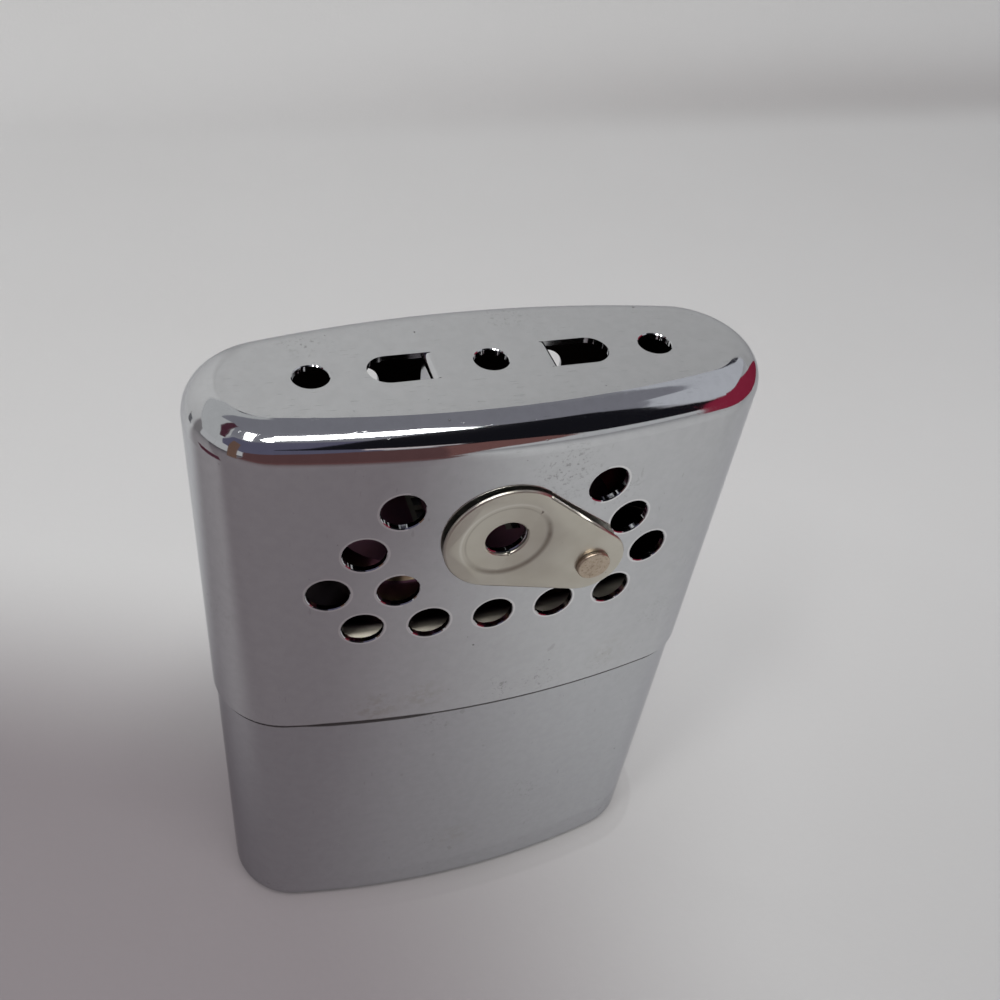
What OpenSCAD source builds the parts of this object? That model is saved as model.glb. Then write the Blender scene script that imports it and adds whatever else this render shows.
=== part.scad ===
// Catalytic hand warmer: an oval drawn fuel tank, a lift-off catalytic burner on
// its filler neck, and a vented cap that slides over the tank's collar.
// Millimetres, +Z up, front face towards -Y, origin at the centre of the base.

/* [Case] */
// Width of the cap, side to side
case_w = 67; // [50:0.5:90]
// Depth of the cap, front to back
case_d = 24.5; // [21.5:0.5:34]
// Height of the closed warmer
case_h = 95.5; // [88:0.5:130]
// Radius of the case's two narrow ends, seen from above
end_r = 10; // [8.5:0.25:10.5]
// Sheet thickness of the cap
cap_wall = 0.7; // [0.5:0.05:1]
// Radius between the cap's walls and its flat top
crown_r = 3.8; // [2:0.1:4.5]
// Roundness of the outer edges at the seam
rim_r = 0.25; // [0.1:0.05:0.4]
// How far the cap stands proud of the tank all round
cap_step = 0.34; // [0.1:0.02:0.45]
// Width of the open seam between the cap and the tank
seam_gap = 0.3; // [0.1:0.05:0.8]

/* [Tank] */
// Height of the visible tank shell
tank_h = 47.4; // [38:0.2:60]
// Radius round the edge of the base
base_r = 2.2; // [1.2:0.1:4]
// Height of the collar above the tank shell's rim
collar_h = 15.2; // [8:0.2:18]
// Depth to which the collar is set into the tank shell
collar_seat = 6; // [3:0.5:12]
// Sheet thickness of the collar and its top
collar_wall = 0.6; // [0.4:0.05:1]
// Radius of the collar's rounded shoulder
shoulder_r = 3.5; // [1.5:0.25:4]
// Sliding clearance between the cap and the collar
collar_gap = 0.3; // [0.2:0.05:0.6]

/* [Filler neck] */
// Width of the neck outside
neck_w = 30; // [22:0.5:36]
// Depth of the neck outside
neck_d = 10; // [8:0.5:11]
// Sheet thickness of the neck
neck_wall = 0.6; // [0.4:0.05:1]
// Height of the neck above the tank top
neck_rise = 6; // [4.6:0.2:9]
// Width of the neck's soldering flange
neck_flange = 1.2; // [0.6:0.1:2]
// Seating clearance of the neck in the tank top and of its gauze in the neck
seat_gap = 0.05; // [0.02:0.01:0.1]
// Height of the felt plug in the neck above the tank top
felt_rise = 1; // [0:0.25:1.5]
// Gap between the soft filling and the metal round it
soft_gap = 0.3; // [0.2:0.05:0.6]
// Free space between the wadding and the neck's flange
wadding_room = 5.5; // [2:0.5:12]
// Roundness of the wadding's edges
wadding_r = 2.2; // [1:0.2:3]

/* [Burner] */
// Sliding clearance between the burner and the neck
burner_gap = 0.3; // [0.2:0.05:0.6]
// Sheet thickness of the burner
burner_wall = 0.5; // [0.3:0.05:0.8]
// How far the burner's bowl stands out from its skirt
bowl_flare = 1.6; // [0.8:0.1:2]
// Room between the neck's rim and the bowl's ledge
bowl_room = 0.5; // [0.3:0.1:2]
// Thickness of the catalyst mat
mat_t = 2.6; // [1.5:0.1:4]
// Thickness of each gauze
gauze_t = 0.4; // [0.2:0.05:0.6]
// Size of the square openings in the gauzes
gauze_hole = 1.4; // [0.8:0.1:1.8]
// Distance between the openings in the gauzes
gauze_pitch = 2.2; // [2:0.1:4]
// Width of the solid rim round each gauze
gauze_rim = 0.6; // [0.4:0.05:1.2]
// How far the hood's rim comes down over the bowl
hood_rim = 2.8; // [1.5:0.1:3.2]
// Clearance between the hood's rim and the bowl
hood_gap = 0.1; // [0.05:0.01:0.2]
// Width of the slots in the hood
slot_w = 1.8; // [1:0.1:2.4]
// Distance between the slots in the hood
slot_pitch = 3.6; // [3:0.1:5]
// Width of the two leaf clips that grip the neck
clip_w = 5; // [3:0.5:8]
// Thickness of the leaf clips
clip_t = 0.4; // [0.2:0.05:0.6]
// Height of the clips' lower ends above the tank top
clip_lift = 1.2; // [0.6:0.1:2]
// Distance from the clips' upper ends to the bowl
clip_drop = 0.6; // [0.3:0.1:1]
// Width of the nose that each clip presses through the skirt
nose_w = 3; // [2:0.2:4]
// Height of each clip's nose
nose_h = 1.2; // [0.8:0.1:1.6]
// Clearance round each clip's nose
nose_gap = 0.3; // [0.1:0.05:0.5]

/* [Vents] */
// Diameter of the vents in the front and the back
vent_d = 4.95; // [3.5:0.05:5.6]
// Sideways distance between the vents of a row
vent_pitch = 7.94; // [7:0.1:9]
// Sideways set of the vents from the middle of the case
vent_shift = -0.45; // [-1:0.05:1]
// Height from one row of vents to the next
row_pitch = 6.23; // [5.9:0.1:6.8]
// Distance from the top row's centres to the top of the case
vent_drop = 10.21; // [9:0.1:12]
// Width of the eased edge round each vent and top hole
vent_ease = 0.1; // [0.05:0.05:0.3]
// Diameter of the round holes in the top
top_hole_d = 3.95; // [2:0.05:5]
// Distance between the round holes in the top
top_hole_pitch = 20; // [18.5:0.25:22]
// Distance from the middle to a top window's straight edge
window_x = 6.4; // [5:0.1:7.5]
// Length of a top window
window_len = 7.6; // [6:0.1:9]
// Width of a top window, front to back
window_d = 4.8; // [3:0.1:5.6]
// Outer bend radius of the tab under each window
tab_bend = 0.9; // [0.85:0.05:1.4]
// Straight length of the tab under each window
tab_len = 6; // [3.5:0.25:8]
// Side clearance cut between a tab and its window
tab_cut = 0.1; // [0.05:0.05:0.3]

/* [Vent shutter] */
// Radius of the shutter's broad end
shutter_r = 7.45; // [6:0.05:9]
// Radius of the shutter's narrow end
tip_r = 4.8; // [3.5:0.05:6]
// Distance from the rivet back to the centre of the narrow end
tip_back = 0.9; // [0:0.1:3]
// Sheet thickness of the shutter
shutter_t = 0.4; // [0.3:0.05:0.8]
// Gap between the shutter and the middle of the cap's face
shutter_gap = 0.3; // [0.3:0.05:0.6]
// Height of the shutter above the rows of vents that it lies on
shutter_rise = 0.8; // [0:0.1:1.5]
// Distance from the vent left out for the rivet in towards the eye
rivet_in = 0.4; // [0:0.1:1]
// Diameter of the shutter's eye
eye_d = 4.95; // [3:0.05:6]
// Diameter of the pressed dish round the eye, at its brim
press_d = 11; // [8:0.1:12]
// Depth of the pressed dish
press_h = 0.2; // [0.1:0.05:0.2]
// Width of the pressed dish's sloping edge
press_slope = 0.75; // [0.2:0.05:1]
// Diameter of the rivet's shank
shank_d = 1.8; // [1.2:0.1:2.6]
// Running clearance round the shank
shank_fit = 0.05; // [0.02:0.01:0.1]
// Diameter of the rivet's head
head_d = 4.2; // [3.4:0.1:5.4]
// Height of the rivet's head
head_h = 0.5; // [0.4:0.05:1]
// Radius of the rounded edge of the rivet's head
head_round = 0.2; // [0.1:0.05:0.3]
// Diameter of the rivet's closed tail
tail_d = 3.2; // [2.8:0.1:3.8]
// Height of the rivet's closed tail
tail_h = 0.7; // [0.4:0.05:1]
// Outer diameter of the two washers
washer_d = 4.4; // [4:0.1:5.4]
// Thickness of the washer inside the cap
back_washer_t = 0.4; // [0.2:0.05:0.6]

/* [Hidden] */
$fn = 180;
// overlap of joined sheets, reach of a cut past its wall, thinnest film
lap = 1.5;
past = 1;
film = 0.02;

cap_z = tank_h + seam_gap;
collar_off = cap_wall + collar_gap;
tank_wall = collar_off - cap_step;
top_z = tank_h + collar_h;
neck_z = top_z + neck_rise;
flange_t = neck_wall;
flange_z = top_z - collar_wall - flange_t;
felt_z = top_z + felt_rise;
wadding_z = flange_z - wadding_room;

skirt_w = neck_w + 2 * (burner_gap + burner_wall);
skirt_d = neck_d + 2 * (burner_gap + burner_wall);
ledge_z = neck_z + bowl_room;
bowl_z = ledge_z + burner_wall;
lower_gauze_z = bowl_z;
mat_z = lower_gauze_z + gauze_t;
upper_gauze_z = mat_z + mat_t;
hood_z = upper_gauze_z + gauze_t;
bowl_h = hood_z - ledge_z - hood_gap;
mat_out = bowl_flare - burner_wall - hood_gap;
clip_low = top_z + clip_lift;
clip_high = ledge_z - clip_drop;
clip_nose = (clip_low + clip_high) / 2;

vent_rows = [[-2, -1, 0, 1, 2], [-2.5, -1.5, 1.5, 2.5], [-2, 0, 2], [-1.5, 1.5]];
rivet_row = 1;
rivet_col = 1.5;
eye_row = 2;
rivet_x = vent_shift + rivet_col * vent_pitch - rivet_in;
rivet_z = row_z(rivet_row) + shutter_rise;
eye_x = vent_shift;
eye_z = row_z(eye_row) + shutter_rise;
reach = norm([rivet_x - eye_x, rivet_z - eye_z]);
swing = atan2(rivet_z - eye_z, rivet_x - eye_x);
shutter_y = -case_d / 2 - shutter_gap;
shutter_front = shutter_y - shutter_t;
head_y = shutter_front - shank_fit;
washer_y = shutter_y + shank_fit;
spring_washer_t = face_y(rivet_x - washer_d / 2, 0) - washer_y - film;
back_washer_y = face_y(rivet_x + washer_d / 2, cap_wall) + film;
tail_y = back_washer_y + back_washer_t + film;

// ---- oval plans: two ends of radius r joined by two wide faces, all tangent ----

// Distance from the middle to the centre of each wide face's arc
function face_c(w, d, r) = (pow(w / 2 - r, 2) - pow(d / 2 - r, 2)) / (2 * (d / 2 - r));

// Angle at which an end's arc meets the face's arc
function join_a(w, d, r) = atan2(face_c(w, d, r), w / 2 - r);

// Point well outside an oval, in line with the centre of an end's arc and its join
function far_point(w, r, a) = [w / 2 - r + 2 * w * cos(a), 2 * w * sin(a)];

// Y of the cap's front face at x, in from the outside
function face_y(x, depth) =
    let (c = face_c(case_w, case_d, end_r))
    c - sqrt(pow(c + case_d / 2 - depth, 2) - x * x);

// Height of a row of vents
function row_z(row) = case_h - vent_drop - (len(vent_rows) - 1 - row) * row_pitch;

// Part of the plane that one end's arc covers: a wedge from the arc's centre
module end_zone(w, d, r) {
    a = join_a(w, d, r);
    polygon([[w / 2 - r, 0], far_point(w, r, -a), [w + d, -2 * d], [w + d, 2 * d], far_point(w, r, a)]);
}

// Part of the plane that the back face's arc covers, down to the middle
module face_zone(w, d, r) {
    tip = far_point(w, r, join_a(w, d, r));
    polygon([[w / 2 - r, 0], tip, [-tip.x, tip.y], [r - w / 2, 0]]);
}

// Moves in a coarse and a fine step, which keeps every digit of a long distance
module shift(v) {
    coarse = [for (n = v) round(100 * n) / 100];
    translate(coarse) translate(v - coarse) children();
}

// Sweeps a profile round an oval: x is 0 on the outline and grows outward, y is
// height. A profile that reaches in past the middle makes a filled plate.
module oval_sweep(w, d, r) {
    c = face_c(w, d, r);
    for (turn = [0, 180])
        rotate(turn) {
            intersection() {
                shift([w / 2 - r, 0, 0]) rotate_extrude()
                    intersection() {
                        shift([r, 0]) children();
                        square([w, 2 * case_h]);
                    }
                linear_extrude(2 * case_h) end_zone(w, d, r);
            }
            intersection() {
                shift([0, -c, 0]) rotate_extrude() shift([c + d / 2, 0]) children();
                linear_extrude(2 * case_h) face_zone(w, d, r);
            }
        }
}

module case_sweep() {
    oval_sweep(case_w, case_d, end_r) children();
}

// Flat plan with two half-round ends and straight sides
module pill(w, d) {
    straight = w - d;
    square([straight, d], center = true);
    for (side = [0, 1])
        mirror([side, 0]) translate([straight / 2, 0])
            intersection() {
                circle(d = d);
                translate([0, -d]) square(2 * d);
            }
}

// Upright block of that plan, let out all round by out
module pill_block(w, d, out, z_low, z_high) {
    translate([0, 0, z_low]) linear_extrude(z_high - z_low) pill(w + 2 * out, d + 2 * out);
}

// Rectangle between two corners
module box2(low, high) {
    translate(low) square(high - low);
}

// Quarter of a ring or disc, from angle turn onwards
module quarter(outer, inner, turn) {
    rotate(turn)
        intersection() {
            difference() {
                circle(outer, $fn = 96);
                if (inner > 0) circle(inner, $fn = 96);
            }
            square(outer + past);
        }
}

// Wall profile with one rounded outer corner and a plain end at z_end
module rim_profile(out, wall, z_rim, z_end) {
    up = sign(z_end - z_rim);
    z_round = z_rim + up * rim_r;
    box2([out - wall, min(z_round, z_end)], [out, max(z_round, z_end)]);
    box2([out - wall, min(z_rim, z_round)], [out - rim_r, max(z_rim, z_round)]);
    translate([out - rim_r, z_round]) quarter(rim_r, 0, up > 0 ? -90 : 0);
}

// ---- tank ----

module tank_shell() {
    color([0.76, 0.76, 0.78])
        case_sweep() {
            rim_profile(-cap_step, tank_wall, tank_h, base_r);
            translate([-cap_step - base_r, base_r]) quarter(base_r, base_r - tank_wall, -90);
            box2([-case_d / 2 - lap, 0], [-cap_step - base_r, tank_wall]);
        }
}

module tank_top() {
    shoulder = collar_off + shoulder_r;
    color([0.72, 0.72, 0.74])
        difference() {
            case_sweep() {
                box2([-collar_off - collar_wall, tank_h - collar_seat], [-collar_off, top_z - shoulder_r]);
                translate([-shoulder, top_z - shoulder_r])
                    quarter(shoulder_r, shoulder_r - collar_wall, 0);
                box2([-case_d / 2 - lap, top_z - collar_wall], [-shoulder, top_z]);
            }
            pill_block(neck_w, neck_d, seat_gap, top_z - collar_wall - past, top_z + past);
        }
}

module filler_neck() {
    color([0.74, 0.73, 0.70])
        difference() {
            union() {
                pill_block(neck_w, neck_d, 0, flange_z, neck_z);
                pill_block(neck_w, neck_d, neck_flange, flange_z, flange_z + flange_t);
            }
            pill_block(neck_w, neck_d, -neck_wall, flange_z - past, neck_z + past);
        }
}

// How far a gauze opening's outer corner lies from the middle of its rounded plan
function corner_reach(x, y, w, d) =
    norm([max(abs(x) + gauze_hole / 2 - (w - d) / 2, 0), abs(y) + gauze_hole / 2]);

// Sheet pierced by a square mesh wherever its solid rim leaves room
module gauze(w, d, z) {
    cols = floor(w / 2 / gauze_pitch);
    rows = floor(d / 2 / gauze_pitch);
    difference() {
        pill_block(w, d, 0, z, z + gauze_t);
        for (col = [-cols:cols], row = [-rows:rows]) {
            x = col * gauze_pitch;
            y = row * gauze_pitch;
            if (corner_reach(x, y, w, d) < d / 2 - gauze_rim)
                translate([x, y, z + gauze_t / 2])
                    cube([gauze_hole, gauze_hole, gauze_t + past], center = true);
        }
    }
}

module neck_gauze() {
    inset = 2 * (neck_wall + seat_gap);
    color([0.62, 0.60, 0.56]) gauze(neck_w - inset, neck_d - inset, felt_z);
}

module wick_felt() {
    color([0.90, 0.88, 0.82])
        pill_block(neck_w, neck_d, -neck_wall - soft_gap, wadding_z, felt_z);
}

module fuel_wadding() {
    inset = collar_off + collar_wall + soft_gap;
    low = tank_wall + soft_gap;
    color([0.94, 0.93, 0.90])
        case_sweep() {
            translate([-inset - wadding_r, low + wadding_r]) quarter(wadding_r, 0, -90);
            translate([-inset - wadding_r, wadding_z - wadding_r]) quarter(wadding_r, 0, 0);
            box2([-inset - wadding_r, low + wadding_r], [-inset, wadding_z - wadding_r]);
            box2([-case_d / 2 - lap, low], [-inset - wadding_r, wadding_z]);
        }
}

// ---- burner ----

module burner_skirt() {
    color([0.70, 0.66, 0.58])
        difference() {
            union() {
                pill_block(skirt_w, skirt_d, 0, top_z, bowl_z);
                pill_block(skirt_w, skirt_d, bowl_flare, ledge_z, ledge_z + bowl_h);
            }
            pill_block(skirt_w, skirt_d, -burner_wall, top_z - past, bowl_z + past);
            pill_block(skirt_w, skirt_d, bowl_flare - burner_wall, bowl_z, hood_z);
            translate([0, 0, clip_nose])
                cube([nose_w + 2 * nose_gap, skirt_d + past, nose_h + 2 * nose_gap], center = true);
        }
}

module burner_clips() {
    nose_y = neck_d / 2 + burner_gap / 2;
    color([0.66, 0.62, 0.55])
        for (side = [0, 180])
            rotate(side) {
                translate([-clip_w / 2, skirt_d / 2, clip_low]) cube([clip_w, clip_t, clip_high - clip_low]);
                translate([-nose_w / 2, nose_y, clip_nose - nose_h / 2])
                    cube([nose_w, skirt_d / 2 - nose_y, nose_h]);
            }
}

module lower_gauze() {
    color([0.55, 0.52, 0.48])
        gauze(skirt_w + 2 * mat_out, skirt_d + 2 * mat_out, lower_gauze_z);
}

module catalyst_mat() {
    color([0.30, 0.29, 0.28])
        pill_block(skirt_w, skirt_d, mat_out - soft_gap, mat_z, upper_gauze_z);
}

module upper_gauze() {
    color([0.50, 0.47, 0.44])
        gauze(skirt_w + 2 * mat_out, skirt_d + 2 * mat_out, upper_gauze_z);
}

module burner_hood() {
    rim = bowl_flare + hood_gap;
    slots = floor((skirt_w - skirt_d) / 2 / slot_pitch);
    color([0.68, 0.65, 0.60])
        difference() {
            pill_block(skirt_w, skirt_d, rim + burner_wall, hood_z - hood_rim, hood_z + burner_wall);
            pill_block(skirt_w, skirt_d, rim, hood_z - hood_rim - past, hood_z);
            for (slot = [-slots:slots])
                translate([slot * slot_pitch, 0, hood_z])
                    cube([slot_w, skirt_d - 2 * burner_wall, 2 * burner_wall + past], center = true);
        }
}

// ---- cap ----

// Round hole punched in along -Z, its outer edge eased, z = 0 on the outer surface
module punched(d) {
    translate([0, 0, -cap_wall - past]) cylinder(d = d, h = cap_wall + 2 * past);
    translate([0, 0, -vent_ease])
        cylinder(d1 = d, d2 = d + 2 * (vent_ease + past), h = vent_ease + past);
}

// Vent in the front wall at x, square to the face there
module vent(x, z) {
    c = face_c(case_w, case_d, end_r);
    r = c + case_d / 2;
    translate([0, c, z]) rotate([90, 0, asin(x / r)]) translate([0, 0, r]) punched(vent_d);
}

module vents() {
    for (row = [0:len(vent_rows) - 1])
        for (col = vent_rows[row]) {
            x = vent_shift + col * vent_pitch;
            under_eye = row == eye_row && col == 0;
            if (row != rivet_row || col != rivet_col) vent(x, under_eye ? eye_z : row_z(row));
            mirror([0, 1, 0]) vent(x, row_z(row));
        }
    translate([rivet_x, 0, rivet_z]) rotate([90, 0, 0])
        cylinder(d = shank_d + 2 * shank_fit, h = case_d / 2 + past);
}

// D-shaped opening in the top: straight edge near the middle, round end outward
module window() {
    r = window_d / 2;
    far = window_x + window_len - r;
    translate([window_x, -r]) square([far - window_x, window_d]);
    translate([far, 0])
        intersection() {
            circle(r);
            translate([0, -r]) square(2 * r);
        }
}

// The flap of a window, bent down at its straight edge and round at its lower end
module tab() {
    half = window_d / 2 - tab_cut;
    low = case_h - tab_bend - tab_len;
    outer = window_x + tab_bend;
    intersection() {
        translate([0, half, 0]) rotate([90, 0, 0]) linear_extrude(2 * half) {
            box2([window_x - tab_bend, case_h - cap_wall], [window_x, case_h]);
            translate([window_x, case_h - tab_bend]) quarter(tab_bend, tab_bend - cap_wall, 0);
            box2([outer - cap_wall, low], [outer, case_h - tab_bend]);
        }
        rotate([90, 0, 90]) linear_extrude(outer + past) {
            translate([0, low + half]) circle(half);
            box2([-half - past, low + half], [half + past, case_h + past]);
        }
    }
}

module cap_shell() {
    color([0.78, 0.78, 0.80]) {
        difference() {
            case_sweep() {
                rim_profile(0, cap_wall, cap_z, case_h - crown_r);
                translate([-crown_r, case_h - crown_r]) quarter(crown_r, crown_r - cap_wall, 0);
                box2([-case_d / 2 - lap, case_h - cap_wall], [-crown_r, case_h]);
            }
            vents();
            for (spot = [-1:1])
                translate([spot * top_hole_pitch, 0, case_h]) punched(top_hole_d);
            for (side = [0, 1])
                mirror([side, 0, 0])
                    translate([0, 0, case_h - cap_wall - past]) linear_extrude(cap_wall + 2 * past) window();
        }
        for (side = [0, 1])
            mirror([side, 0, 0]) tab();
    }
}

// ---- vent shutter and its rivet ----

// Places what is drawn along +Z from the rivet's axis so that it points out of the front
module on_rivet(y) {
    translate([rivet_x, y, rivet_z]) rotate([90, 0, 0]) children();
}

// Two unequal round ends joined by straight tangent sides, the broad end at the origin
module teardrop(broad, narrow, apart) {
    lean = asin((broad - narrow) / apart);
    x1 = broad * sin(lean);
    x2 = apart + narrow * sin(lean);
    y1 = broad * cos(lean);
    y2 = narrow * cos(lean);
    polygon([[x1, -y1], [x2, -y2], [x2, y2], [x1, y1]]);
    intersection() {
        circle(broad);
        translate([x1 - 3 * broad, -2 * broad]) square([3 * broad, 4 * broad]);
    }
    translate([apart, 0])
        intersection() {
            circle(narrow);
            translate([x2 - apart, -2 * narrow]) square([3 * narrow, 4 * narrow]);
        }
}

module vent_shutter() {
    brim = press_d / 2;
    rise = film * press_slope / press_h;
    color([0.66, 0.63, 0.57])
        translate([eye_x, shutter_y, eye_z]) rotate([90, 0, 0])
            difference() {
                union() {
                    rotate(swing) linear_extrude(shutter_t) teardrop(shutter_r, tip_r, reach - tip_back);
                    translate([0, 0, -press_h]) cylinder(r1 = brim - press_slope, r2 = brim + rise, h = press_h + film);
                }
                translate([0, 0, shutter_t - press_h])
                    cylinder(r1 = brim - press_slope, r2 = brim + rise, h = press_h + film);
                translate([0, 0, -past]) cylinder(d = eye_d, h = shutter_t + 2 * past);
                rotate(swing) translate([reach, 0, -past])
                    cylinder(d = shank_d + 2 * shank_fit, h = shutter_t + 2 * past);
            }
}

// Low domed button, flat side at z = 0
module dome(d, h) {
    ball = (d * d / 4 + h * h) / (2 * h);
    rotate_extrude()
        intersection() {
            translate([0, h - ball]) circle(ball);
            square([d, h + past]);
        }
}

// Flat button with a rounded edge, its back at z = 0
module button(d, h) {
    rotate_extrude() {
        square([d / 2 - head_round, h]);
        square([d / 2, h - head_round]);
        translate([d / 2 - head_round, h - head_round]) quarter(head_round, 0, 0);
    }
}

module shutter_rivet() {
    color([0.62, 0.55, 0.46]) {
        on_rivet(head_y) button(head_d, head_h);
        on_rivet(tail_y + film) cylinder(d = shank_d, h = tail_y - head_y + 2 * film);
        on_rivet(tail_y) mirror([0, 0, 1]) dome(tail_d, tail_h);
    }
}

module washer(y, t) {
    on_rivet(y)
        difference() {
            cylinder(d = washer_d, h = t);
            translate([0, 0, -past]) cylinder(d = shank_d + 4 * shank_fit, h = t + 2 * past);
        }
}

module spring_washer() {
    color([0.60, 0.60, 0.62]) washer(washer_y + spring_washer_t, spring_washer_t);
}

module back_washer() {
    color([0.60, 0.60, 0.62]) washer(back_washer_y + back_washer_t, back_washer_t);
}

tank_shell();
tank_top();
filler_neck();
neck_gauze();
wick_felt();
fuel_wadding();
burner_skirt();
burner_clips();
lower_gauze();
catalyst_mat();
upper_gauze();
burner_hood();
cap_shell();
shutter_rivet();
spring_washer();
back_washer();
vent_shutter();
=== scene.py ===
import math

import bmesh
import bpy
from mathutils import Matrix, Quaternion, Vector


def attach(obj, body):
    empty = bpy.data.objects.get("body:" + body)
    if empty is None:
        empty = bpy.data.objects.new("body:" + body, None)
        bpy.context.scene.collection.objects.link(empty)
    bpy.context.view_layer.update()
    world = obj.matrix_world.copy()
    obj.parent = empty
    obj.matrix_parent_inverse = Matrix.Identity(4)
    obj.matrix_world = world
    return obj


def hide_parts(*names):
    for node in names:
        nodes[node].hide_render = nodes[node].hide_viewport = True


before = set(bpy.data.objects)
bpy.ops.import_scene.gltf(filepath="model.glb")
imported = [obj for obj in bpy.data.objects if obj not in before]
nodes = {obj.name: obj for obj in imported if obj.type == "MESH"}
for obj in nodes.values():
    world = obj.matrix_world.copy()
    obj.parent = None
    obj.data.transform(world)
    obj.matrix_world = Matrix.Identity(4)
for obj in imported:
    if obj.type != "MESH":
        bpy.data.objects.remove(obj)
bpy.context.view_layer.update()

scene = bpy.context.scene
scene.view_settings.view_transform = "Standard"
print("frame loaded:", len(nodes), "nodes")


class Wire:
    # one output of a material; maths on it adds Math nodes
    def __init__(self, finish, socket):
        self.finish = finish
        self.socket = socket

    def maths(self, operation, *others, first=True):
        values = [self, *others] if first else [*others, self]
        node = self.finish.add("ShaderNodeMath", {"operation": operation}, dict(enumerate(values)))
        return Wire(self.finish, node.outputs[0])

    def __add__(self, other): return self.maths("ADD", other)
    def __radd__(self, other): return self.maths("ADD", other)
    def __sub__(self, other): return self.maths("SUBTRACT", other)
    def __rsub__(self, other): return self.maths("SUBTRACT", other, first=False)
    def __mul__(self, other): return self.maths("MULTIPLY", other)
    def __rmul__(self, other): return self.maths("MULTIPLY", other)
    def __truediv__(self, other): return self.maths("DIVIDE", other)
    def __pow__(self, other): return self.maths("POWER", other)
    def __abs__(self): return self.maths("ABSOLUTE")

    def most(self, other): return self.maths("MAXIMUM", other)
    def least(self, other): return self.maths("MINIMUM", other)

    def fade(self, low, high, toLow=0.0, toHigh=1.0):
        # smooth step from low to high, which may run downwards
        node = self.finish.add("ShaderNodeMapRange", {"interpolation_type": "SMOOTHSTEP"},
                               {"Value": self, "From Min": low, "From Max": high,
                                "To Min": toLow, "To Max": toHigh})
        return Wire(self.finish, node.outputs[0])


class NodeBench:
    # adds nodes to one node tree and links them up
    def __init__(self, tree):
        self.tree = tree

    def add(self, kind, settings=None, values=None):
        node = self.tree.nodes.new(kind)
        for name, value in (settings or {}).items():
            if name == "stops":
                while len(node.color_ramp.elements) < len(value):
                    node.color_ramp.elements.new(0.5)
                for stop, (spot, colour) in zip(node.color_ramp.elements, value):
                    stop.position = spot
                    stop.color = (*colour, 1)
            else:
                setattr(node, name, value)
        for name, value in (values or {}).items():
            self.put(node.inputs[name], value)
        return node

    def put(self, socket, value):
        if isinstance(value, Wire):
            value = value.socket
        if isinstance(value, bpy.types.NodeSocket):
            self.tree.links.new(value, socket)
        elif socket.type == "RGBA" and len(value) == 3:
            socket.default_value = (*value, 1)
        else:
            socket.default_value = value


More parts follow.
